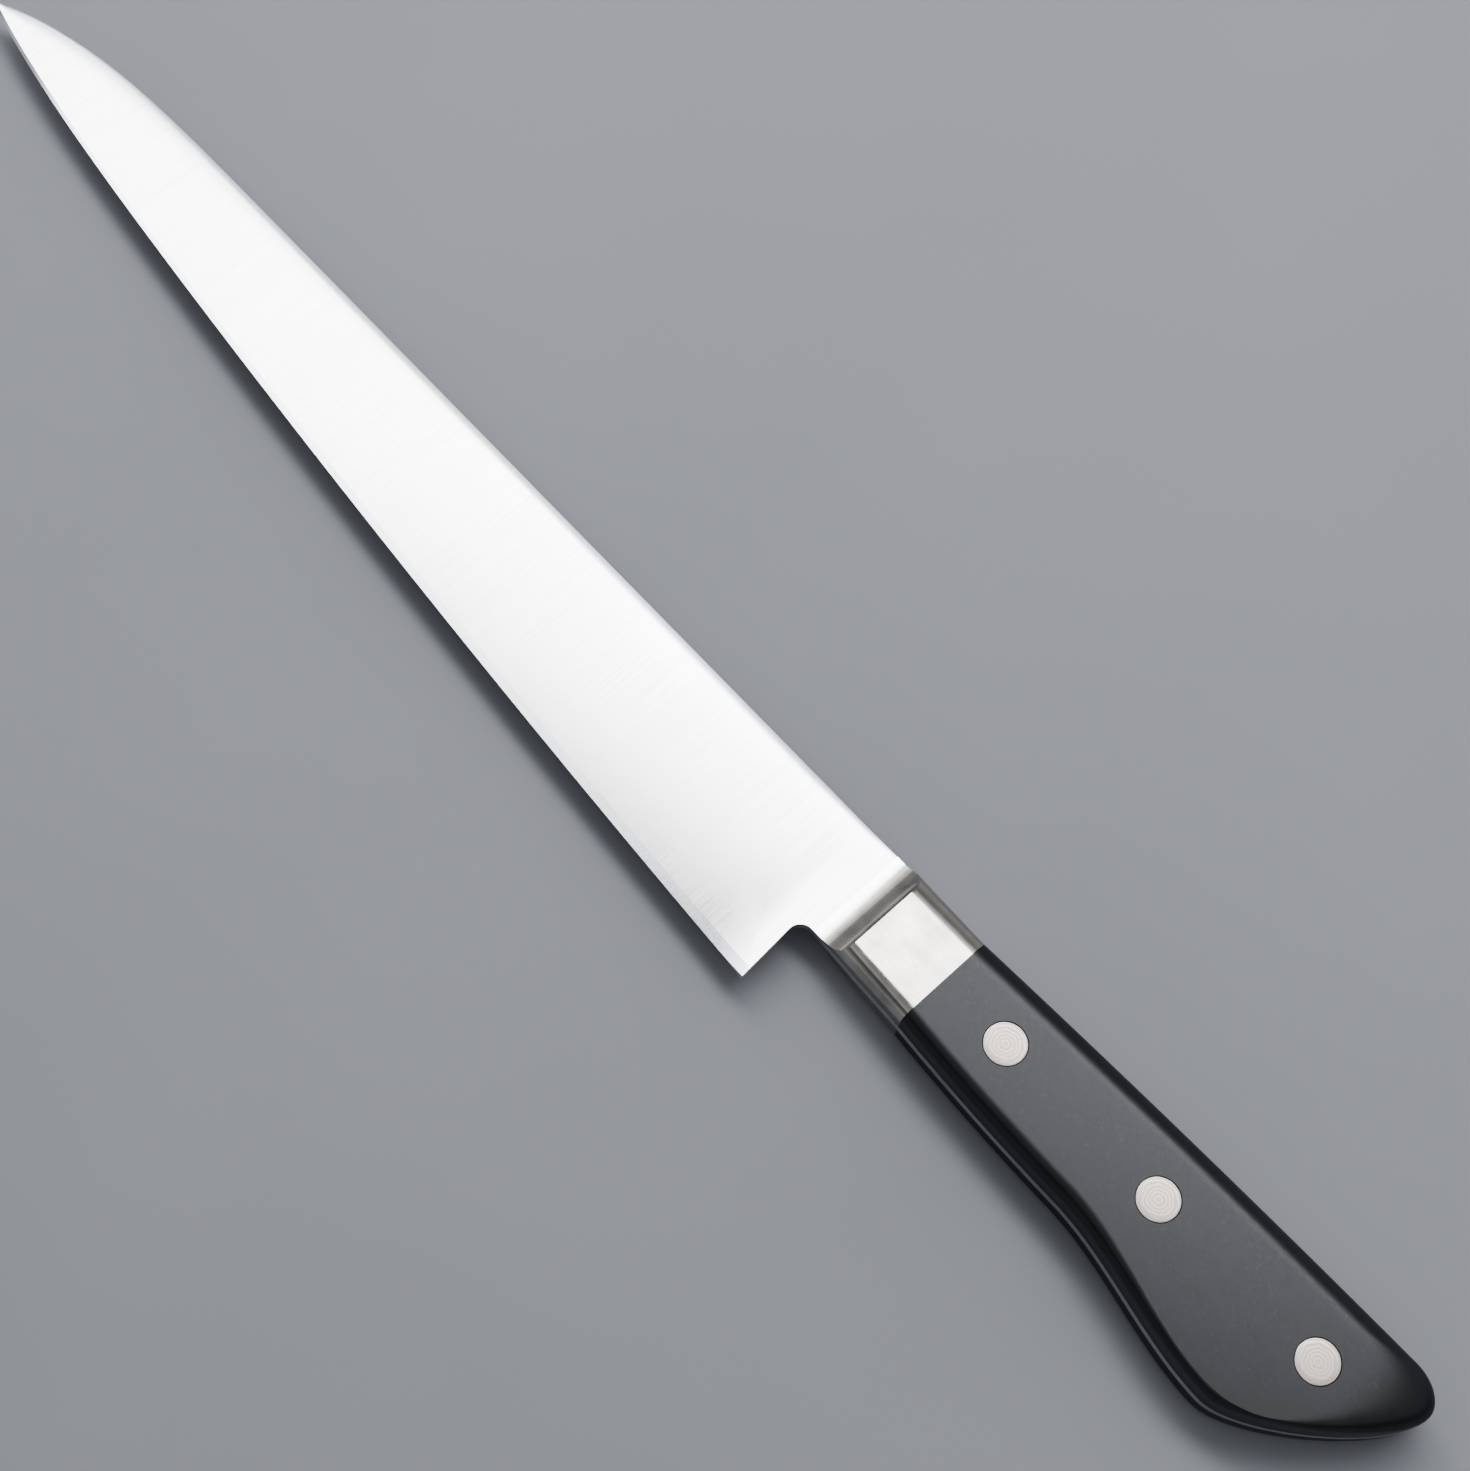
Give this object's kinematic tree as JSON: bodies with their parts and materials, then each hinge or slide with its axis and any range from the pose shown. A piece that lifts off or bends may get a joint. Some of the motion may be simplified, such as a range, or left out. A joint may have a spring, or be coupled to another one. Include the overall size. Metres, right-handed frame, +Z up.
{
  "type": "sujihiki slicing knife",
  "caption": "Long slender double-bevel slicing knife with scooped steel bolsters and black handle scales riveted to a full tang.",
  "frame": {"origin": "middle of the knife's bounding box, on the surface that it lies on with its right side down", "axes": "+X from the tip to the butt, +Y from the edge to the spine, +Z up out of the left side"},
  "size_m": [0.3656, 0.036, 0.013],
  "materials": {
    "blade_steel": "fine satin, ground along the blade's width",
    "bolster_steel": "polished",
    "rivet_steel": "satin, faint turning marks",
    "black_scale": "satin black composite"
  },
  "bodies": {
    "root": {"blade": "blade_steel", "bolster_left": "bolster_steel", "bolster_right": "bolster_steel", "scale_left": "black_scale", "scale_right": "black_scale", "rivet_front_post": "rivet_steel", "rivet_front_sleeve": "rivet_steel", "rivet_middle_post": "rivet_steel", "rivet_middle_sleeve": "rivet_steel", "rivet_rear_post": "rivet_steel", "rivet_rear_sleeve": "rivet_steel"}
  },
  "joints": []
}
